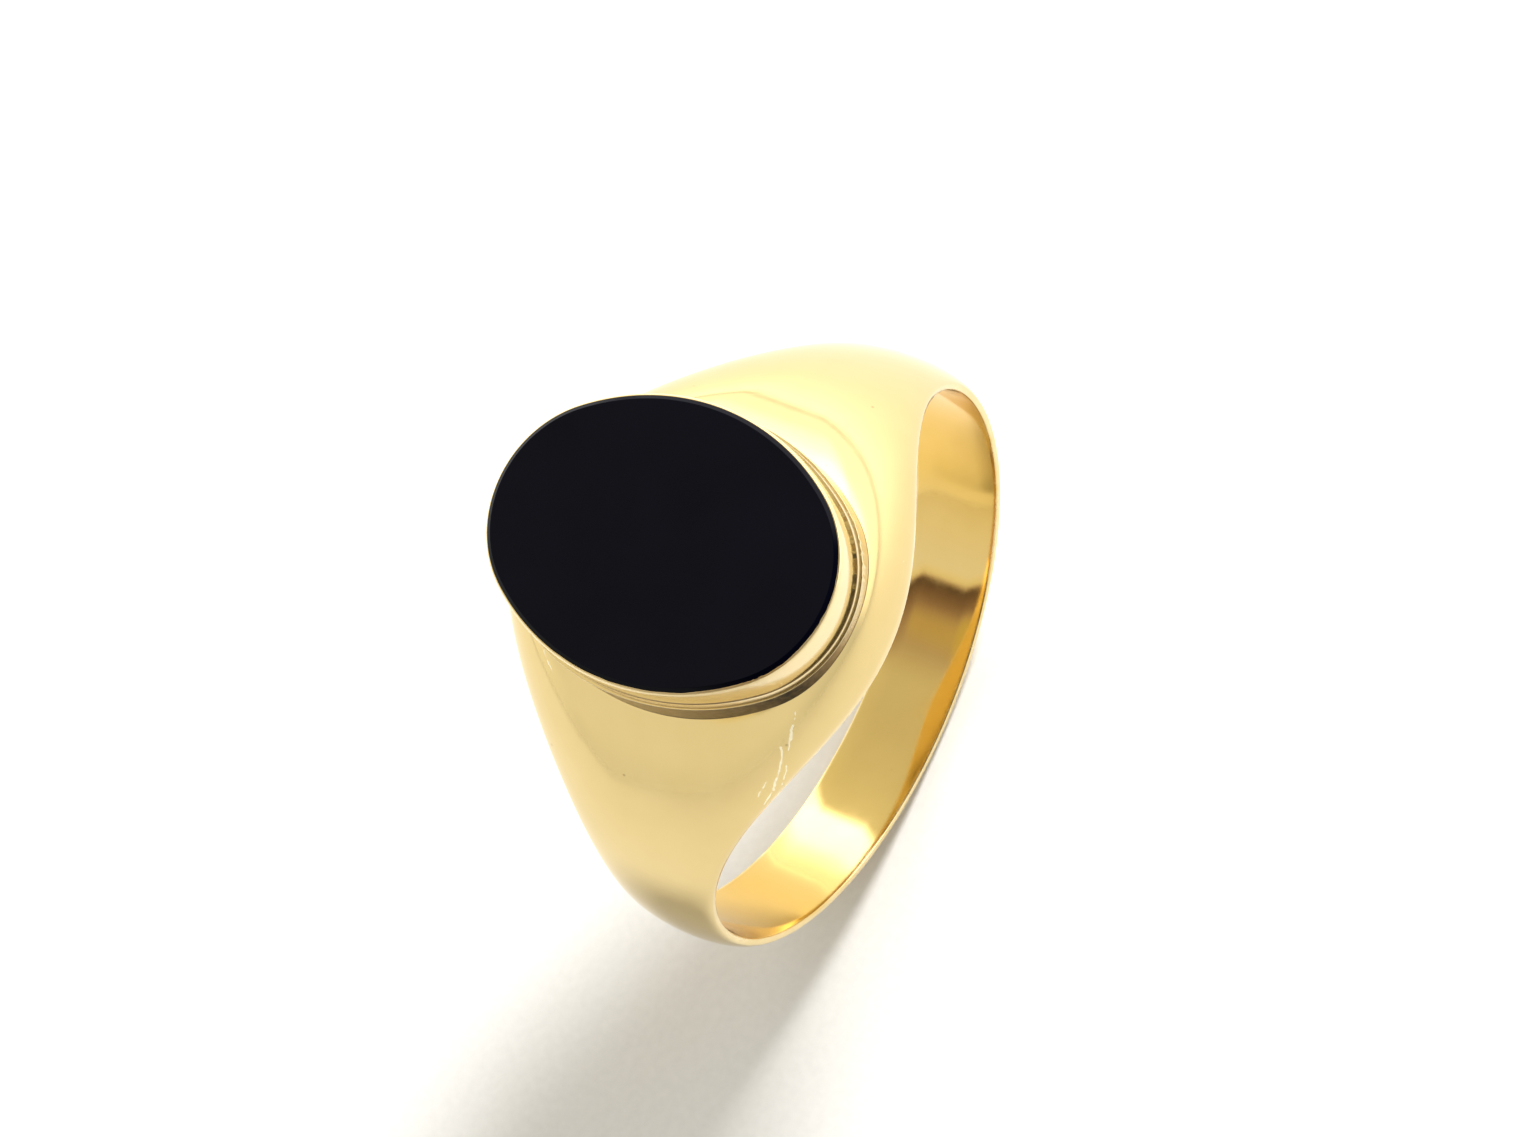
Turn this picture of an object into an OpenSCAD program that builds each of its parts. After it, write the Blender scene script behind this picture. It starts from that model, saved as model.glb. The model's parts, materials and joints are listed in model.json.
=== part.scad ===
// Signet ring with a raised oval stone.
// Frame: the origin is the centre of the finger hole, Y runs along the finger,
// +Z points out through the middle of the head, and X runs round the finger.

/* [Finger size] */
// Inside diameter of the band
bore_d = 19.4; // [16:0.1:23]

/* [Band] */
// Width of the band at the back of the finger
back_w = 3.3; // [2.4:0.1:5]
// Width of the band across the head
head_w = 13.4; // [13.2:0.1:15]
// Angle from the head over which the shoulders narrow
taper_a = 44.8; // [36:0.2:52]
// Thickness of the band at its edges
edge_t = 0.24; // [0.2:0.02:0.4]
// Rise of the band's middle above its edges, at the back
back_rise = 0.4; // [0.3:0.05:1]
// Rise of the head's middle above its edges
head_rise = 2; // [1.6:0.05:2.4]
// Angle from the head over which the extra rise fades
rise_a = 41; // [34:1:48]
// Width of the rounded flank at the edge of the head
flank_w = 1; // [0.8:0.05:1.6]
// Angle from the head over which the flank grows into a full curve
flank_a = 32; // [28:1:48]

/* [Stone] */
// Length of the stone, along the finger
stone_l = 11.9; // [11.5:0.1:12]
// Width of the stone, round the finger
stone_w = 9; // [8.8:0.1:9.4]
// Thickness of the stone
stone_t = 1.5; // [1.2:0.05:1.55]
// Height of the bevel round the stone's top
bevel_h = 0.12; // [0.1:0.02:0.3]
// Width of the bevel round the stone's top
bevel_w = 0.14; // [0.1:0.02:0.24]

/* [Bezel] */
// Height of the base tier above the top of the head
base_h = 0.14; // [0.1:0.02:0.4]
// Distance that the base tier stands out past the stone
base_out = 0.2; // [0.16:0.01:0.3]
// Depth that the base tier is let into the top of the head
let_in = 0.3; // [0.2:0.02:0.4]
// Height of the collar above the base tier
collar_h = 1.55; // [1.5:0.05:1.8]
// Distance that the collar's foot stands out past the stone
collar_foot = 0.13; // [0.1:0.01:0.15]
// Thickness of the collar's rim round the stone
collar_rim = 0.06; // [0.05:0.01:0.09]
// Width of the hidden ledge that the stone rests on
bearing_w = 0.7; // [0.5:0.05:1]

/* [Smoothness] */
// Number of cross-sections round the band
ring_steps = 108; // [72:4:144]
// Number of steps across the band's outer curve
cross_steps = 16; // [12:2:20]

/* [Hidden] */
$fn = 128;

GOLD = "gold";
ONYX = "black";
CEMENT = "gray";
// Distance that cutting shapes run past the surfaces they cut.
clear_cut = 1;
bore_r = bore_d / 2;
edge_r = bore_r + edge_t;
head_r = edge_r + head_rise;
// The head's pocket for the base tier follows this cylinder about the finger's axis.
pocket_r = head_r - let_in;
base_top_z = head_r + base_h;
rim_z = base_top_z + collar_h;
seat_z = rim_z + bevel_h - stone_t;
// The stone's oval is four arcs: one at each end and one along each side, tangent where they meet.
// Radius of the end arcs as a share of half the stone's width.
end_share = 0.84;
end_r = end_share * stone_w / 2;
end_y = stone_l / 2 - end_r;
side_r = (pow(stone_w / 2, 2) + pow(end_y, 2) - pow(end_r, 2)) / (stone_w - 2 * end_r);
side_x = side_r - stone_w / 2;
// Inner radius of the loft, well inside the finger hole that is cut from it.
core_r = bore_r - clear_cut;
// Steepness of the flank's curve at the band's edge.
flank_power = 0.6;

// Fades from 1 at the head to 0 at the back; a is the angle from the head.
function fade(a, spread) = exp(-pow(a / spread, 2));

// Half the band's width at an angle from the head.
function half_width(a) = (back_w + (head_w - back_w) * fade(a, taper_a)) / 2;

// Rise of the band's middle above its edges at an angle from the head.
function rise(a) = back_rise + (head_rise - back_rise) * fade(a, rise_a);

// Width of the curved flank at an angle from the head.
function flank(a) = half_width(a) + (flank_w - half_width(a)) * fade(a, flank_a);

// Share of the rise that is reached a distance s in from the edge, in flank widths.
function flank_curve(s) = pow(1 - pow(1 - min(s, 1), 2), flank_power);

// Radius of the band's outer surface at an angle from the head and a place across it.
function outer_r(a, y) = edge_r + rise(a) * flank_curve((half_width(a) - abs(y)) / flank(a));

// Places across the band, crowded towards its edges, from -1 to 1.
function across(j) = -cos(180 * j / cross_steps);

// One cross-section of the loft: the outer curve, then the two inner corners.
function section(a) = concat(
    [for (j = [0:cross_steps])
        let (y = half_width(a) * across(j))
        [outer_r(a, y), y]],
    [[core_r, half_width(a)], [core_r, -half_width(a)]]
);

// Angle from the head, 0 to 180, of a signed turn t about the finger's axis.
function from_head(t) = t > 180 ? 360 - t : t;

// Puts a cross-section point at a turn t about the finger's axis.
function placed(p, t) = [p[0] * sin(t), p[1], p[0] * cos(t)];

// The band, shoulders and head as one loft, before the finger hole is cut.
module band_loft() {
    count = cross_steps + 3;
    points = [
        for (i = [0:ring_steps - 1])
            let (t = 360 * i / ring_steps)
            for (p = section(from_head(t))) placed(p, t)
    ];
    faces = [
        for (i = [0:ring_steps - 1])
            for (j = [0:count - 1])
                let (a = i * count, b = ((i + 1) % ring_steps) * count, k = (j + 1) % count)
                for (f = [[a + j, b + j, b + k], [a + j, b + k, a + k]]) f
    ];
    polyhedron(points, faces);
}

// Half of the stone's outline, towards side (1 or -1) of X, standing out by foot below and top above.
module oval_side(z, h, foot, top, side) {
    reach_x = 2 * side_r;
    reach_y = reach_x * end_y / side_x;
    translate([-side * side_x, 0, z])
        intersection() {
            cylinder(h = h, r1 = side_r + foot, r2 = side_r + top);
            linear_extrude(h)
                polygon([[0, 0], [side * reach_x, -reach_y], [side * reach_x, reach_y]]);
        }
}

// An upright solid on the stone's four-arc oval, standing out past it by foot below and by top above.
module oval(z, h, foot, top) {
    for (side = [-1, 1]) {
        oval_side(z, h, foot, top, side);
        translate([0, side * end_y, z])
            cylinder(h = h, r1 = end_r + foot, r2 = end_r + top);
    }
}

// A solid cylinder about the finger's axis.
module about_finger(r, l) {
    rotate([90, 0, 0])
        cylinder(h = l, r = r, center = true);
}

module shank() {
    color(GOLD)
        difference() {
            band_loft();
            about_finger(bore_r, head_w + 2 * clear_cut);
            difference() {
                oval(bore_r, head_r - bore_r + clear_cut, base_out, base_out);
                about_finger(pocket_r, head_w + 2 * clear_cut);
            }
        }
}

module bezel_base() {
    color(GOLD)
        difference() {
            oval(bore_r, base_top_z - bore_r, base_out, base_out);
            about_finger(pocket_r, head_w + 2 * clear_cut);
        }
}

module bezel_collar() {
    color(GOLD)
        difference() {
            oval(base_top_z, rim_z - base_top_z, collar_foot, collar_rim);
            oval(base_top_z - clear_cut, rim_z - base_top_z + 2 * clear_cut, 0, 0);
        }
}

module bearing() {
    color(GOLD)
        difference() {
            oval(base_top_z, seat_z - base_top_z, 0, 0);
            oval(base_top_z - clear_cut, seat_z - base_top_z + 2 * clear_cut, -bearing_w, -bearing_w);
        }
}

module bedding() {
    color(CEMENT)
        oval(base_top_z, seat_z - base_top_z, -bearing_w, -bearing_w);
}

module stone() {
    color(ONYX)
        union() {
            oval(seat_z, rim_z - seat_z, 0, 0);
            oval(rim_z, bevel_h, 0, -bevel_w);
        }
}

shank();
bezel_base();
bezel_collar();
bearing();
bedding();
stone();
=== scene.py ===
import json
import math

import bpy
import numpy as np
from mathutils import Matrix, Vector


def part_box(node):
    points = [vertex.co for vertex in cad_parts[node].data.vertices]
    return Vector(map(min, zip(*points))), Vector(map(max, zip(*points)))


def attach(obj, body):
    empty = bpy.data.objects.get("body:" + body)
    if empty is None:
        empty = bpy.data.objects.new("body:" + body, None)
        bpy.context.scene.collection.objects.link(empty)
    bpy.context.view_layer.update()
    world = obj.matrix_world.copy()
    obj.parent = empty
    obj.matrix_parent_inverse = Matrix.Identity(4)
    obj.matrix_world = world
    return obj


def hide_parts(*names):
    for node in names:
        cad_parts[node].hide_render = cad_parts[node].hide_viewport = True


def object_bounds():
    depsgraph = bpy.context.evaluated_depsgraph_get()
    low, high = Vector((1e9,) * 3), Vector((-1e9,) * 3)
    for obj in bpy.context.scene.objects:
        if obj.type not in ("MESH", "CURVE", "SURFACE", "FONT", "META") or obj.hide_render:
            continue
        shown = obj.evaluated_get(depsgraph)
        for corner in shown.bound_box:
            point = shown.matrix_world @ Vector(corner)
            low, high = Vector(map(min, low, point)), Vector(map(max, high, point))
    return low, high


MM = 0.001

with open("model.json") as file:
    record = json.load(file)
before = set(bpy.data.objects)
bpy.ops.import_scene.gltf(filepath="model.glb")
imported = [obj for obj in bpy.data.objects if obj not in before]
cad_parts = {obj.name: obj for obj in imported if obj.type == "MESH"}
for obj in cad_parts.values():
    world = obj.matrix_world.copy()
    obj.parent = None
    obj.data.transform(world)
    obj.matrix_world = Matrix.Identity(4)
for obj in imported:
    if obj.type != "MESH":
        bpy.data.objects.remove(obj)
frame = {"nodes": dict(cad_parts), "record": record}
cad_box = [list(corner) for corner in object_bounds()]
scene = bpy.context.scene


# ---------------------------------------------------------------- sizes, in millimetres

def node_size(node):
    """Lowest corner, highest corner of a CAD node, in millimetres."""
    low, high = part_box(node)
    return np.array(low) / MM, np.array(high) / MM


shank_low, shank_high = node_size("shank")
stone_low, stone_high = node_size("stone")
collar_high = node_size("bezel_collar")[1]
base_high = node_size("bezel_base")[1]

BORE_R = frame["record"]["mounts"][0]["dims"]["r_mm"]
HEAD_W = shank_high[1] - shank_low[1]
BACK_W = 3.3
TAPER_A = math.radians(44.8)
EDGE_R = BORE_R + 0.24
BACK_RISE = -shank_low[2] - EDGE_R
HEAD_RISE = 2.0
RISE_A = math.radians(41)
FLANK_W = 1.0
FLANK_A = math.radians(32)
FLANK_POWER = 0.6
# Rounding of the band's inner edges, and how far and over what width the bore opens towards them.
BORE_ROUND = 0.07
BORE_OPENS = 0.045
BORE_EASE = 0.7
# Share of the CAD size that keeps the smoother band inside the CAD box.
INSIDE_CAD = 0.99995
# The bore is painted a deeper tone, standing in for light bounced between its gold walls; these are the
# angles from the head over which that painted tone turns pale, and how much of it does.
PALE_FROM = 125
PALE_OVER = 28
PALE_SHARE = 0.9
# Strength of the painted highlight at the corners of the band's outer surface, for the thin bright strip of
# light along them.
CORNER_HIGHLIGHT = 0.6

STONE_L = stone_high[1] - stone_low[1]
STONE_W = stone_high[0] - stone_low[0]
STONE_TOP = stone_high[2]
SEAT_Z = stone_low[2]
RIM_Z = collar_high[2]
BASE_TOP = base_high[2]
BASE_OUT = base_high[1] - stone_high[1]
COLLAR_FOOT = collar_high[1] - stone_high[1]
BEVEL_W = 0.14
BEVEL_FOOT = RIM_Z + 0.02
COLLAR_RIM = 0.06
# Bottom of the base tier's mesh, hidden in the head, and how far in its hidden floor reaches.
BURIED_Z = 10.6
BURIED_IN = 1.2


# ---------------------------------------------------------------- meshes

def grid_mesh(name, rows):
    """A closed surface from rows of points (around, along the profile, xyz) in millimetres."""
    n_around, n_profile = rows.shape[:2]
    verts = (rows.reshape(-1, 3) * MM).tolist()
    i = np.arange(n_around)[:, None]
    j = np.arange(n_profile)[None, :]
    i2, j2 = (i + 1) % n_around, (j + 1) % n_profile
    faces = np.stack([i * n_profile + j, i2 * n_profile + j, i2 * n_profile + j2, i * n_profile + j2], -1)
    mesh = bpy.data.meshes.new(name)
    mesh.from_pydata(verts, [], faces.reshape(-1, 4).tolist())
    mesh.validate()
    obj = bpy.data.objects.new(name, mesh)
    scene.collection.objects.link(obj)
    for polygon in mesh.polygons:
        polygon.use_smooth = True
    return obj


def fade(a, spread):
    return np.exp(-(a / spread) ** 2)


def half_width(a):
    return (BACK_W + (HEAD_W - BACK_W) * fade(a, TAPER_A)) / 2


def outer_radius(a, y):
    """Radius of the band's outer surface at an angle from the head and a place across it."""
    rise = BACK_RISE + (HEAD_RISE - BACK_RISE) * fade(a, RISE_A)
    half = half_width(a)
    flank = half + (FLANK_W - half) * fade(a, FLANK_A)
    s = np.clip((half - abs(y)) / flank, 0, 1)
    return EDGE_R + rise * (1 - (1 - s) ** 2) ** FLANK_POWER


def band_mesh(name, around=384, across=112, bore=48, corner=5):
    """The band as one loft, with eased inner edges and weights for the painted deeper tone of its inside and
    the painted highlight on its edges.
    """
    rows = []
    for turn in np.linspace(0, 2 * math.pi, around, endpoint=False):
        a = min(turn, 2 * math.pi - turn)
        half = half_width(a)
        y = -half * np.cos(np.pi * np.arange(across + 1) / across)
        section = [(outer_radius(a, v), v) for v in y]
        arc = np.linspace(0, math.pi / 2, corner)
        corner_r = BORE_R + BORE_OPENS
        section += [(corner_r + BORE_ROUND * (1 - math.sin(q)), half - BORE_ROUND * (1 - math.cos(q)))
                    for q in arc]
        places = np.linspace(half - BORE_ROUND, -half + BORE_ROUND, bore)[1:-1]
        for v in places:
            near_edge = max(0, 1 - (half - BORE_ROUND - abs(v)) / BORE_EASE)
            section.append((BORE_R + BORE_OPENS * near_edge ** 2, v))
        section += [(corner_r + BORE_ROUND * (1 - math.cos(q)), -half + BORE_ROUND * (1 - math.sin(q)))
                    for q in arc]
        section = np.array(section)
        rows.append(np.stack([section[:, 0] * math.sin(turn), section[:, 1],
                              section[:, 0] * math.cos(turn)], -1))
    band = grid_mesh(name, np.array(rows) * INSIDE_CAD)
    turns = np.linspace(0, 2 * math.pi, around, endpoint=False)
    from_head = np.degrees(np.minimum(turns, 2 * math.pi - turns))
    paler = np.clip((from_head - PALE_FROM) / PALE_OVER, 0, 1)
    inside = np.zeros((around, len(section)))
    inside[:, across + 1 + corner // 2:-(corner // 2)] = (1 - PALE_SHARE * paler)[:, None]
    add_weight(band, "inside", inside)
    edge = np.zeros((around, len(section)))
    edge[:, across + 1:across + 1 + corner] = 1
    edge[:, -corner:] = 1
    edge[:, (0, 1, across - 1, across)] = CORNER_HIGHLIGHT
    add_weight(band, "edge", edge)
    return band


def add_weight(obj, name, values):
    attribute = obj.data.attributes.new(name, "FLOAT", "POINT")
    attribute.data.foreach_set("value", np.asarray(values, np.float32).ravel())


def oval_points(count):
    """Points on the stone's four-arc outline with their outward directions."""
    end_r = 0.84 * STONE_W / 2
    end_y = STONE_L / 2 - end_r
    side_r = ((STONE_W / 2) ** 2 + end_y ** 2 - end_r ** 2) / (STONE_W - 2 * end_r)
    side_x = side_r - STONE_W / 2
    meet = math.atan2(end_y, side_x)
    points, normals = [], []
    for q in np.linspace(0, 2 * math.pi, count, endpoint=False):
        normal = np.array([math.cos(q), math.sin(q)])
        if abs(normal[1]) < math.sin(meet):
            centre = np.array([-math.copysign(side_x, normal[0]), 0])
            points.append(centre + side_r * normal)
        else:
            centre = np.array([0, math.copysign(end_y, normal[1])])
            points.append(centre + end_r * normal)
        normals.append(normal)
    return np.array(points), np.array(normals)


def rounded(profile, steps=5):
    """A closed (out, z, radius) profile with each corner turned into a small arc."""
    path = []
    n = len(profile)
    for k in range(n):
        p = np.array(profile[k][:2], float)
        radius = profile[k][2]
        if radius == 0:
            path.append(p)
            continue
        before = np.array(profile[k - 1][:2], float) - p
        after = np.array(profile[(k + 1) % n][:2], float) - p
        before /= np.linalg.norm(before)
        after /= np.linalg.norm(after)
        angle = math.acos(np.clip(before @ after, -1, 1))
        reach = radius / math.tan(angle / 2)
        middle = before + after
        centre = p + middle / np.linalg.norm(middle) * radius / math.sin(angle / 2)
        start = p + before * reach - centre
        end = p + after * reach - centre
        turn = math.pi - angle
        for q in np.linspace(0, 1, steps + 1):
            blend = math.sin((1 - q) * turn) * start + math.sin(q * turn) * end
            path.append(centre + blend / math.sin(turn))
    return np.array(path)


def supported(path, gap=0.012):
    """Adds points near both ends of an open path's long stretches, so that shading stays at its corners."""
    out = []
    for p, q in zip(path[:-1], path[1:]):
        length = np.linalg.norm(q - p)
        out.append(p)
        if length > 4 * gap:
            step = (q - p) / length * gap
            out += [p + step, (p + q) / 2, q - step]
    return np.array(out + [path[-1]])


def oval_mesh(name, section, count=768, weights=None):
    """Sweeps a closed (out, z) section, which may change with the angle, round the stone's outline."""
    points, normals = oval_points(count)
    angles = 2 * math.pi * np.arange(count) / count
    paths = [section(q, points[k], normals[k]) for k, q in enumerate(angles)]
    rows = [np.concatenate([points[k] + path[:, :1] * normals[k], path[:, 1:]], 1)
            for k, path in enumerate(paths)]
    obj = grid_mesh(name, np.array(rows))
    if weights:
        add_weight(obj, "painted_shade", np.array([weights(q, path) for q, path in zip(angles, paths)]))
    return obj


def closed_oval_mesh(name, profile, count=512):
    """Sweeps an open (out, z) profile round the outline and closes its two ends with flat caps."""
    points, normals = oval_points(count)
    rows = np.array([
        np.concatenate([points[k][None, :] + profile[:, :1] * normals[k][None, :], profile[:, 1:]], 1)
        for k in range(count)])
    n_profile = rows.shape[1]
    verts = (rows.reshape(-1, 3) * MM).tolist()
    faces = [(i * n_profile + j, ((i + 1) % count) * n_profile + j,
              ((i + 1) % count) * n_profile + j + 1, i * n_profile + j + 1)
             for i in range(count) for j in range(n_profile - 1)]
    faces.append([i * n_profile for i in range(count)][::-1])
    faces.append([i * n_profile + n_profile - 1 for i in range(count)])
    mesh = bpy.data.meshes.new(name)
    mesh.from_pydata(verts, [], faces)
    mesh.validate()
    obj = bpy.data.objects.new(name, mesh)
    scene.collection.objects.link(obj)
    for polygon in mesh.polygons:
        polygon.use_smooth = len(polygon.vertices) == 4
    return obj


# ---------------------------------------------------------------- materials

def new_material(name):
    material = bpy.data.materials.new(name)
    material.use_nodes = True
    tree = material.node_tree
    return material, tree, tree.nodes["Principled BSDF"]


def noise(tree, vector, scale, detail=3.0, roughness=0.55):
    node = tree.nodes.new("ShaderNodeTexNoise")
    node.inputs["Scale"].default_value = scale
    node.inputs["Detail"].default_value = detail
    node.inputs["Roughness"].default_value = roughness
    tree.links.new(vector, node.inputs["Vector"])
    return node.outputs["Fac"]


def ramp(tree, factor, stops):
    node = tree.nodes.new("ShaderNodeValToRGB")
    while len(node.color_ramp.elements) < len(stops):
        node.color_ramp.elements.new(0.5)
    for element, (place, color) in zip(node.color_ramp.elements, stops):
        element.position = place
        element.color = (*color, 1)
    tree.links.new(factor, node.inputs["Fac"])
    return node.outputs["Color"]


def map_range(tree, value, low, high, to_low, to_high, smooth=False):
    node = tree.nodes.new("ShaderNodeMapRange")
    node.interpolation_type = "SMOOTHSTEP" if smooth else "LINEAR"
    node.inputs["From Min"].default_value = low
    node.inputs["From Max"].default_value = high
    node.inputs["To Min"].default_value = to_low
    node.inputs["To Max"].default_value = to_high
    tree.links.new(value, node.inputs["Value"])
    return node.outputs["Result"]


def mix_value(tree, factor, first, second):
    node = tree.nodes.new("ShaderNodeMix")
    node.data_type = "FLOAT"
    tree.links.new(factor, node.inputs["Factor"])
    for socket, value in ((node.inputs[2], first), (node.inputs[3], second)):
        if isinstance(value, (int, float)):
            socket.default_value = value
        else:
            tree.links.new(value, socket)
    return node.outputs[0]


def math_node(tree, operation, first, second=None):
    node = tree.nodes.new("ShaderNodeMath")
    node.operation = operation
    for socket, value in zip(node.inputs, (first, second)):
        if value is None:
            continue
        if isinstance(value, (int, float)):
            socket.default_value = value
        else:
            tree.links.new(value, socket)
    return node.outputs["Value"]


def stretched(tree, vector, scale, rotation=(0, 0, 0)):
    node = tree.nodes.new("ShaderNodeMapping")
    node.inputs["Scale"].default_value = scale
    node.inputs["Rotation"].default_value = rotation
    tree.links.new(vector, node.inputs["Vector"])
    return node.outputs["Vector"]


def bump(tree, height, distance, strength, normal=None):
    node = tree.nodes.new("ShaderNodeBump")
    node.inputs["Distance"].default_value = distance
    node.inputs["Strength"].default_value = strength
    tree.links.new(height, node.inputs["Height"])
    if normal is not None:
        tree.links.new(normal, node.inputs["Normal"])
    return node.outputs["Normal"]


def weight(tree, name):
    node = tree.nodes.new("ShaderNodeAttribute")
    node.attribute_name = name
    return node.outputs["Fac"]


def mix_color(tree, factor, first, second):
    node = tree.nodes.new("ShaderNodeMix")
    node.data_type = "RGBA"
    tree.links.new(factor, node.inputs["Factor"])
    tree.links.new(first, node.inputs[6])
    tree.links.new(second, node.inputs[7])
    return node.outputs[2]


def vector_math(tree, operation, first, second, output="Vector"):
    node = tree.nodes.new("ShaderNodeVectorMath")
    node.operation = operation
    for socket, value in zip(node.inputs, (first, second)):
        if isinstance(value, (tuple, list)):
            socket.default_value = value
        else:
            tree.links.new(value, socket)
    return node.outputs[output]


def scratch(tree, place, start, end, width, gaps):
    """1 inside a straight scratch between two places in millimetres, fainter where gaps is low."""
    a, b = Vector(start) * MM, Vector(end) * MM
    along = (b - a) / (b - a).length_squared
    from_start = vector_math(tree, "SUBTRACT", place, tuple(a))
    share = vector_math(tree, "DOT_PRODUCT", from_start, tuple(along), "Value")
    share = math_node(tree, "MINIMUM", math_node(tree, "MAXIMUM", share, 0.0), 1.0)
    axis = tree.nodes.new("ShaderNodeCombineXYZ")
    for socket, value in zip(axis.inputs, b - a):
        tree.links.new(math_node(tree, "MULTIPLY", share, value), socket)
    distance = vector_math(tree, "DISTANCE", from_start, axis.outputs["Vector"], "Value")
    mask = map_range(tree, distance, width * MM * 0.3, width * MM * 0.6, 1.0, 0.0)
    return math_node(tree, "MULTIPLY", mask, gaps)


# How far a scratch wanders from its straight line, in metres.
SCRATCH_WANDER = 0.00022


def gold(name, pale, deep, rough_low, rough_high, inner=None, painted_shade=False, scratches=()):
    """Polished yellow gold with faint waves, hairlines and uneven gloss.

    inner is a second pair of tones for the bore, painted deeper to stand in for light bounced inside it; the
    shade switch paints shade, brown to black, where the bezel's weights lie and makes the metal matt there;
    scratches are (start, end, width) in millimetres, painted pale as glints. Without the shade switch, the
    edges get a painted highlight of paler gold.
    """
    material, tree, shader = new_material(name)
    place = tree.nodes.new("ShaderNodeTexCoord").outputs["Object"]
    tone = noise(tree, place, 420, 4)
    color = ramp(tree, tone, [(0.35, deep), (0.65, pale)])
    if inner:
        # Painted reflection: the bore's tones are deeper, standing in for light bounced between its gold
        # walls.
        painted_light = ramp(tree, tone, [(0.35, inner[0]), (0.65, inner[1])])
        color = mix_color(tree, weight(tree, "inside"), color, painted_light)
    gloss = noise(tree, place, 1500, 6, 0.6)
    roughness = map_range(tree, gloss, 0.3, 0.7, rough_low, rough_high)
    if painted_shade:
        # Painted shade: the weights darken the colour to brown and then black in the bezel's creases, groove
        # and near wall, and turn the metal matt there.
        speckle = map_range(tree, noise(tree, place, 5000, 5), 0.3, 0.6, 0.92, 1.04)
        shade_amount = math_node(tree, "MULTIPLY", weight(tree, "painted_shade"), speckle)
        brown = ramp(tree, tone, [(0.3, (0.3, 0.19, 0.07)), (0.7, (0.38, 0.24, 0.09))])
        black = ramp(tree, tone, [(0.3, (0.01, 0.006, 0.001)), (0.7, (0.022, 0.013, 0.003))])
        color = mix_color(tree, map_range(tree, shade_amount, 0.0, 0.5, 0.0, 1.0), color, brown)
        color = mix_color(tree, map_range(tree, shade_amount, 0.5, 1.0, 0.0, 1.0), color, black)
        roughness = mix_value(tree, shade_amount, roughness, 0.5)
        tree.links.new(map_range(tree, shade_amount, 0.1, 0.55, 1.0, 0.0), shader.inputs["Metallic"])
        shader.inputs["Specular IOR Level"].default_value = 0.06
    else:
        shader.inputs["Metallic"].default_value = 1.0
        # Painted highlight: the band's edges turn a paler gold, for the thin bright strip of light along
        # them, and they are made rougher.
        edge = weight(tree, "edge")
        patchy = map_range(tree, noise(tree, place, 900, 5), 0.35, 0.6, 0.3, 1.0)
        painted_light = math_node(tree, "MULTIPLY", edge, patchy)
        painted_highlight = ramp(tree, tone, [(0.35, (0.86, 0.72, 0.42)), (0.65, (0.9, 0.77, 0.48))])
        color = mix_color(tree, math_node(tree, "MULTIPLY", painted_light, 0.6), color, painted_highlight)
        roughness = mix_value(tree, painted_light, roughness, 0.3)
    if scratches:
        wander = tree.nodes.new("ShaderNodeTexNoise")
        wander.inputs["Scale"].default_value = 2600
        wander.inputs["Detail"].default_value = 4
        tree.links.new(place, wander.inputs["Vector"])
        centred = vector_math(tree, "SUBTRACT", wander.outputs["Color"], (0.5, 0.5, 0.5))
        offset = vector_math(tree, "MULTIPLY", centred, (SCRATCH_WANDER,) * 3)
        shaken = vector_math(tree, "ADD", place, offset)
        gaps = map_range(tree, noise(tree, place, 3500, 3), 0.3, 0.45, 0.6, 1.0)
        marks = None
        for start, end, width in scratches:
            mark = scratch(tree, shaken, start, end, width, gaps)
            marks = mark if marks is None else math_node(tree, "MAXIMUM", marks, mark)
        # Painted glints: the scratches are mixed towards a pale, near white gold.
        painted_highlight = ramp(tree, tone, [(0.35, (0.97, 0.92, 0.68)), (0.65, (1.0, 0.97, 0.8))])
        color = mix_color(tree, math_node(tree, "MULTIPLY", marks, 0.75), color, painted_highlight)
        roughness = mix_value(tree, marks, roughness, 0.4)
        cells = tree.nodes.new("ShaderNodeTexVoronoi")
        cells.inputs["Scale"].default_value = 620
        tree.links.new(place, cells.inputs["Vector"])
        speck = map_range(tree, cells.outputs["Distance"], 0.02, 0.04, 0.45, 0.0)
        brown = ramp(tree, tone, [(0.3, (0.2, 0.12, 0.04)), (0.7, (0.26, 0.16, 0.06))])
        color = mix_color(tree, speck, color, brown)
    tree.links.new(color, shader.inputs["Base Color"])
    tree.links.new(roughness, shader.inputs["Roughness"])
    waves = noise(tree, place, 260, 2)
    hairs = noise(tree, stretched(tree, place, (700, 9000, 9000), (0.3, 0.5, 0.2)), 1, 3, 0.7)
    first = bump(tree, waves, 0.00004, 0.12)
    tree.links.new(bump(tree, hairs, 0.000002, 0.25, first), shader.inputs["Normal"])
    return material


def onyx(name):
    """Polished black onyx, almost even, with a faint cloud in its depth and gloss."""
    material, tree, shader = new_material(name)
    place = tree.nodes.new("ShaderNodeTexCoord").outputs["Object"]
    cloud = noise(tree, place, 300, 5)
    tree.links.new(ramp(tree, cloud, [(0.3, (0.0007, 0.001, 0.0038)), (0.7, (0.0012, 0.0016, 0.0052))]),
                   shader.inputs["Base Color"])
    polish = noise(tree, place, 2500, 4)
    tree.links.new(map_range(tree, polish, 0.3, 0.7, 0.05, 0.09), shader.inputs["Roughness"])
    shader.inputs["IOR"].default_value = 1.54
    shader.inputs["Specular IOR Level"].default_value = 0.07
    ripple = noise(tree, place, 900, 3)
    tree.links.new(bump(tree, ripple, 0.000004, 0.1), shader.inputs["Normal"])
    return material


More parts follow.
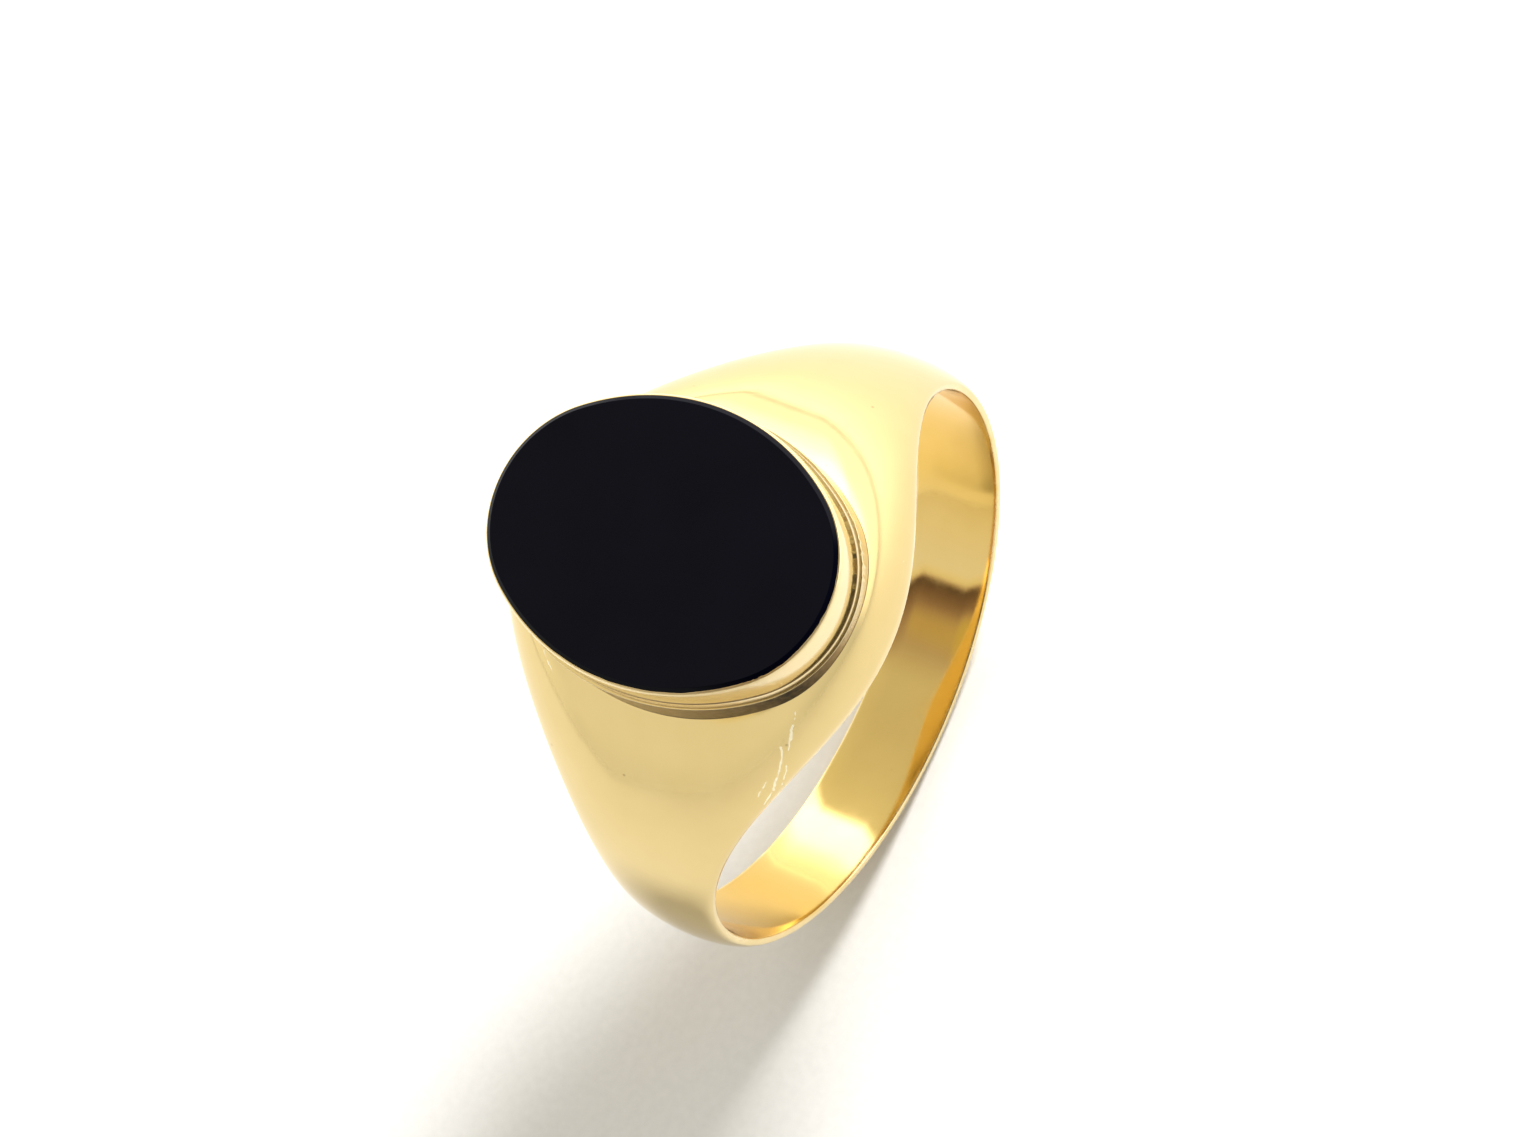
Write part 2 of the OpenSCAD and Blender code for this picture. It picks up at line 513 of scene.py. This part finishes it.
def cement(name):
    """Matt grey setting cement."""
    material, tree, shader = new_material(name)
    place = tree.nodes.new("ShaderNodeTexCoord").outputs["Object"]
    grain = noise(tree, place, 6000, 6)
    tree.links.new(ramp(tree, grain, [(0.3, (0.22, 0.21, 0.2)), (0.7, (0.36, 0.35, 0.33))]),
                   shader.inputs["Base Color"])
    shader.inputs["Roughness"].default_value = 0.9
    tree.links.new(bump(tree, grain, 0.00002, 0.4), shader.inputs["Normal"])
    return material


def on_band(degrees, y):
    """A place on the band's outer surface, in millimetres."""
    a = math.radians(degrees)
    r = outer_radius(a, y)
    return (r * math.sin(a), y, r * math.cos(a))


# Each scratch: angle from the head and place across the band, at its start and its end, then its width.
# The scratches are real marks painted pale as glints; the last, narrowest one is only a painted reflection
# boundary.
SCRATCHES = [(on_band(*start), on_band(*end), width) for start, end, width in (
    ((15.3, 5.21), (17.6, 5.16), 0.06), ((17.6, 5.16), (20.3, 5.1), 0.09), ((20.3, 5.1), (22.4, 5.04), 0.07),
    ((22.0, 4.86), (24.5, 4.89), 0.06), ((24.5, 4.89), (28.2, 4.74), 0.07), ((25.5, 5.0), (30.0, 4.82), 0.05),
    ((28.2, 4.74), (31.3, 4.61), 0.09), ((31.3, 4.61), (35.0, 4.31), 0.06), ((29.4, 4.45), (33.0, 4.2), 0.05),
    ((21.2, -3.6), (24.2, -3.18), 0.05), ((-14.4, 6.08), (-1.9, 6.18), 0.03))]
band_gold = gold("gold_band", (0.73, 0.575, 0.272), (0.71, 0.555, 0.255), 0.07, 0.12,
                 inner=[(0.68, 0.445, 0.105), (0.71, 0.47, 0.125)], scratches=SCRATCHES)
# The bezel's gold takes the painted shade of its tiers' weights.
bezel_gold = gold("gold_bezel", (0.87, 0.73, 0.43), (0.85, 0.7, 0.4), 0.06, 0.1, painted_shade=True)
black_onyx = onyx("onyx")
grey_cement = cement("cement")


# ---------------------------------------------------------------- pieces

def finish_piece(obj, material, node):
    obj.data.materials.append(material)
    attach(obj, "root")
    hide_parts(node)


band = band_mesh("band")
finish_piece(band, band_gold, "shank")


def around(angle, centre, spread):
    """1 at one side of the oval, fading to 0 away from it; angles in degrees."""
    gap = (math.degrees(angle) - centre + 180) % 360 - 180
    return math.exp(-(gap / spread) ** 2)


def head_height(x, y):
    """Height of the band's outer surface over a place under the bezel."""
    z = EDGE_R + HEAD_RISE
    for _ in range(6):
        z = math.sqrt(outer_radius(math.atan2(abs(x), z), y) ** 2 - x * x)
    return z


# Places up the base tier's wall, as shares of its height, close together where the painted shade is.
WALL_STEPS = np.array([0, 0.04, 0.09, 0.15, 0.25, 0.4, 0.6, 0.8, 0.93])
# Random heights of the tool marks: the base tier's wall, the collar's lip and the base tier's top.
RIPPLE = np.random.default_rng(5).normal(size=(3, 300))


def ripple(angle, row, frequency, centre, spread):
    """Small uneven tool marks, strongest on one side of the bezel."""
    place = angle / (2 * math.pi) * frequency
    first = int(place)
    part = place - first
    values = RIPPLE[row]
    part = part * part * (3 - 2 * part)
    value = values[first % frequency] * (1 - part) + values[(first + 1) % frequency] * part
    return value * around(angle, centre, spread)


def base_section(angle, point, normal):
    """The base tier's section: it stands out further on one side, and its wall and top are tooled."""
    reach = BASE_OUT + 0.12 * around(angle, -42, 36) - 0.06 * around(angle, 14, 24)
    foot = head_height(*(point + reach * normal))
    tooled = 0.012 * np.clip(ripple(angle, 0, 240, 132, 24), -1, 1)
    top_round = 0.025
    wall = [(reach + tooled * t, foot + (BASE_TOP - top_round - foot) * t) for t in WALL_STEPS]
    arc = [(reach - top_round * (1 - math.cos(q)) + tooled, BASE_TOP - top_round * (1 - math.sin(q)))
           for q in np.linspace(0, math.pi / 2, 5)]
    dent = 0.006 * np.clip(ripple(angle, 2, 200, 132, 24), -1.5, 0.2)
    inner = [(reach - top_round - 0.015, BASE_TOP + dent), (-BURIED_IN / 2, BASE_TOP),
             (-BURIED_IN, BASE_TOP), (-BURIED_IN, BURIED_Z), (reach, BURIED_Z)]
    return np.array([(reach, foot - 0.1)] + wall + arc + inner)


def base_painted_shade(angle, path):
    """Painted shade on the base tier: thick in the crease at its foot, and up its wall on the near side."""
    wall = min(1.0, 0.1 + 0.4 * around(angle, -8, 58) + 0.7 * around(angle, 52, 30))
    shade = np.zeros(len(path))
    shade[0] = 0.9
    shade[1:1 + len(WALL_STEPS)] = np.where(WALL_STEPS < 0.12, np.maximum(wall, 0.75), wall)
    shade[1 + len(WALL_STEPS):3 + len(WALL_STEPS)] = (wall * 0.8, wall * 0.3)
    return shade


base = oval_mesh("bezel_base_tier", base_section, weights=base_painted_shade)
finish_piece(base, bezel_gold, "bezel_base")

# Places across the groove in the collar's wall, in groove widths from its middle.
SEAM_STEPS = np.array([-1.1, -0.6, -0.3, 0, 0.3, 0.6, 1.1])


def collar_section(angle, point, normal):
    """The collar's section: a groove that climbs round its wall, and a wavy lip burnished over the stone."""
    foot_z, lip_z = BASE_TOP - 0.01, RIM_Z - 0.04
    seam_z = RIM_Z - (RIM_Z - BASE_TOP) * (0.57 + 0.3 * math.sin(angle))
    wavy = 0.016 * ripple(angle, 1, 150, 50, 55)
    foot_out = COLLAR_FOOT + 0.06 * around(angle, -42, 36) - 0.03 * around(angle, 14, 24)

    def out(z):
        return foot_out + (COLLAR_RIM + 0.015 - foot_out) * (z - foot_z) / (lip_z - foot_z)

    wall = [(out(foot_z), foot_z), (out(foot_z + 0.02), foot_z + 0.02)]
    seam_w = 0.035 + 0.075 * around(angle, 0, 45)
    wall += [(out(seam_z + d * seam_w) - 0.02 * max(0, 1 - abs(d)), seam_z + d * seam_w) for d in SEAM_STEPS]
    wall += [(out(lip_z - 0.1), lip_z - 0.1), (out(lip_z - 0.03), lip_z - 0.03)]
    lip = [(0.06, RIM_Z - 0.035), (0.048, RIM_Z - 0.015), (0.03 + wavy / 2, RIM_Z + 0.008),
           (0.01 + wavy, RIM_Z + 0.03), (-0.014 + wavy, RIM_Z + 0.034), (-0.03, RIM_Z - 0.01)]
    inner = [(-0.03, RIM_Z - 0.3), (-0.03, foot_z)]
    return np.array(wall + lip + inner)


def collar_painted_shade(angle, path):
    """Painted shade on the collar: in its groove, at its foot, and a little under and on its lip."""
    near_seam = np.zeros(len(path))
    seam = 0.6 * (1 - around(angle, -120, 60)) + 0.15 * around(angle, 90, 40)
    near_seam[2:9] = np.where(abs(SEAM_STEPS) < 0.7, seam, 0.05)
    near_seam[0:2] = 0.35
    near_seam[9:13] = 0.16 * around(angle, 32, 26)
    near_seam[13:17] = 0.1 + 0.4 * around(angle, 48, 34)
    return near_seam


collar = oval_mesh("bezel_collar_wall", collar_section, weights=collar_painted_shade)
finish_piece(collar, bezel_gold, "bezel_collar")

stone_path = rounded([(-1, SEAT_Z, 0), (-0.02, SEAT_Z, 0), (-0.005, BEVEL_FOOT, 0.012),
                      (-BEVEL_W, STONE_TOP, 0.015), (-1, STONE_TOP, 0)])
stone = closed_oval_mesh("stone_tablet", supported(stone_path))
finish_piece(stone, black_onyx, "stone")

for node, material in (("bearing", bezel_gold), ("bedding", grey_cement)):
    frame["nodes"][node].data.materials.clear()
    frame["nodes"][node].data.materials.append(material)


# ---------------------------------------------------------------- floor, light and camera

def floor_mesh(z, size):
    """A plain pale floor at height z, reaching size each way, in metres."""
    mesh = bpy.data.meshes.new("floor")
    corners = [(-size, -size, z), (size, -size, z), (size, size, z), (-size, size, z)]
    mesh.from_pydata(corners, [], [(0, 1, 2, 3)])
    obj = bpy.data.objects.new("floor", mesh)
    scene.collection.objects.link(obj)
    material, tree, shader = new_material("floor_paper")
    place = tree.nodes.new("ShaderNodeTexCoord").outputs["Object"]
    grain = noise(tree, place, 3000, 4)
    tree.links.new(ramp(tree, grain, [(0.3, (0.86, 0.86, 0.855)), (0.7, (0.9, 0.9, 0.895))]),
                   shader.inputs["Base Color"])
    shader.inputs["Roughness"].default_value = 0.9
    shader.inputs["Specular IOR Level"].default_value = 0.1
    mesh.materials.append(material)
    return obj


floor_mesh(cad_box[0][2], 0.9)


# Directions of the warm spot and of the bright pane that the polished metal reflects.
WARM_SPOT = (0.507, -0.236, 0.829)
PANE = (-0.865, -0.39, 0.316)
# Share of the surroundings' light that falls on matt surfaces; the lamps below give the floor the rest.
MATT_SHARE = 0.55
# Brightness of the surroundings where the camera sees them directly.
BACKDROP = 1.1


def world_light():
    """Pale surroundings: bright and with a window towards -X, dimmer towards +X, warm and dark overhead."""
    world = bpy.data.worlds.new("studio")
    scene.world = world
    world.use_nodes = True
    tree = world.node_tree
    background = tree.nodes["Background"]
    direction = tree.nodes.new("ShaderNodeTexCoord").outputs["Generated"]
    split = tree.nodes.new("ShaderNodeSeparateXYZ")
    tree.links.new(direction, split.inputs[0])
    x, y, z = split.outputs["X"], split.outputs["Y"], split.outputs["Z"]
    low = map_range(tree, x, 0.05, -0.75, 1.06, 2.0, smooth=True)
    window = math_node(tree, "MULTIPLY", map_range(tree, z, 0.16, 0.3, 0.0, 1.0, smooth=True),
                       map_range(tree, x, -0.5, -0.75, 0.0, 1.2, smooth=True))
    low = math_node(tree, "ADD", low, window)
    low = math_node(tree, "ADD", low, map_range(tree, y, -0.5, -0.85, 0.0, 0.36, smooth=True))
    low = math_node(tree, "SUBTRACT", low, map_range(tree, y, 0.3, 0.8, 0.0, 0.12, smooth=True))
    low = math_node(tree, "MULTIPLY", low, map_range(tree, z, 0.0, 0.22, 0.94, 1.0, smooth=True))
    window_top = map_range(tree, z, 0.47, 0.56, 0.0, 1.0, smooth=True)
    high = map_range(tree, z, 0.5, 0.95, 1.1, 0.8)
    high = mix_value(tree, map_range(tree, y, -0.25, 0.1, 0.0, 1.0, smooth=True), high, 0.1)
    open_part = mix_value(tree, window_top, low, high)
    dark_edge = map_range(tree, z, 0.55, 0.59, 0.0, 1.0, smooth=True)
    fading = map_range(tree, z, 0.6, 0.93, 1.0, 0.1)
    towards_x = map_range(tree, x, 0.1, 0.35, 0.0, 0.87, smooth=True)
    dark = math_node(tree, "MULTIPLY", math_node(tree, "MULTIPLY", dark_edge, fading), towards_x)
    strength = math_node(tree, "MULTIPLY", open_part, math_node(tree, "SUBTRACT", 1.0, dark))
    neutral = ramp(tree, x, [(0.0, (1, 0.985, 0.95)), (0.6, (1, 0.975, 0.9))])
    warm = ramp(tree, dark, [(0.0, (1, 0.9, 0.6)), (0.7, (1, 0.62, 0.38))])
    color = mix_color(tree, window_top, neutral, warm)
    orange = map_range(tree, vector_math(tree, "DOT_PRODUCT", direction, WARM_SPOT, "Value"),
                       0.975, 0.998, 0.0, 1.0, smooth=True)
    amber = ramp(tree, orange, [(0.0, (1, 0.75, 0.3)), (1.0, (1, 0.76, 0.24))])
    color = mix_color(tree, orange, color, amber)
    strength = mix_value(tree, orange, strength, 0.75)
    pane = map_range(tree, vector_math(tree, "DOT_PRODUCT", direction, PANE, "Value"),
                     0.965, 0.99, 0.0, 0.7, smooth=True)
    strength = math_node(tree, "ADD", strength, pane)
    path = tree.nodes.new("ShaderNodeLightPath")
    strength = mix_value(tree, path.outputs["Is Diffuse Ray"], strength,
                         math_node(tree, "MULTIPLY", strength, MATT_SHARE))
    seen = path.outputs["Is Camera Ray"]
    tree.links.new(mix_value(tree, seen, strength, BACKDROP), background.inputs["Strength"])
    white = ramp(tree, seen, [(0.0, (1, 1, 1)), (1.0, (1, 1, 1))])
    tree.links.new(mix_color(tree, seen, color, white), background.inputs["Color"])


world_light()


def area_light(name, place, target, size, power):
    """A rectangular lamp at one place, facing another, in metres and watts."""
    data = bpy.data.lights.new(name, "AREA")
    data.shape = "RECTANGLE"
    data.size, data.size_y = size
    data.energy = power
    obj = bpy.data.objects.new(name, data)
    scene.collection.objects.link(obj)
    obj.location = place
    obj.rotation_euler = (Vector(target) - Vector(place)).to_track_quat("-Z", "Y").to_euler()
    return obj


def towards(azimuth, elevation, distance):
    """A place in metres, seen from the ring at that azimuth (from +X towards +Y) and elevation in degrees."""
    a, e = math.radians(azimuth), math.radians(elevation)
    flat = distance * math.cos(e)
    return (flat * math.cos(a), flat * math.sin(a), distance * math.sin(e))


def hide_reflection(obj):
    """The light isn't seen by the camera or in the polished metal, only its effect on the floor is."""
    obj.visible_camera = False
    obj.visible_glossy = False
    return obj


def sun_light(name, place, strength, angle, color):
    """A sun that shines from a place towards the ring; angle is its apparent size in degrees."""
    data = bpy.data.lights.new(name, "SUN")
    data.energy = strength
    data.angle = math.radians(angle)
    data.color = color
    obj = bpy.data.objects.new(name, data)
    scene.collection.objects.link(obj)
    obj.rotation_euler = (-Vector(place)).to_track_quat("-Z", "Y").to_euler()
    return obj


hide_reflection(sun_light("key", towards(170, 44, 1), 3.05, 14, (1, 0.995, 0.99)))
hide_reflection(area_light("side_fill", (-0.24, -0.09, 0.1), (-0.24, -0.09, 0), (0.36, 0.4), 0.8))
hide_reflection(area_light("left_fill", (0.04, -0.22, 0.12), (0.04, -0.22, 0), (0.36, 0.22), 0.15))

# The camera that the photo was fitted with: its place in millimetres, its lens, and the directions of
# its right-hand side and of its back.
CAMERA_PLACE = Vector((11.06, 50.80, 115.95))
LENS = 90.12
CAMERA_RIGHT = Vector((-0.4048, 0.8459, -0.3473))
CAMERA_BACK = Vector((0.1006, 0.4187, 0.9026))

camera_data = bpy.data.cameras.new("camera")
camera_data.sensor_width = 36
camera_data.sensor_fit = "HORIZONTAL"
camera_data.lens = LENS
camera_data.clip_start = 0.01
camera_data.clip_end = 10
camera = bpy.data.objects.new("camera", camera_data)
scene.collection.objects.link(camera)
right = CAMERA_RIGHT.normalized()
back = CAMERA_BACK.normalized()
up = back.cross(right).normalized()
right = up.cross(back)
turned = Matrix((right, up, back)).transposed().to_4x4()
camera.matrix_world = Matrix.Translation(CAMERA_PLACE * MM) @ turned
scene.camera = camera
scene.view_settings.view_transform = "Standard"
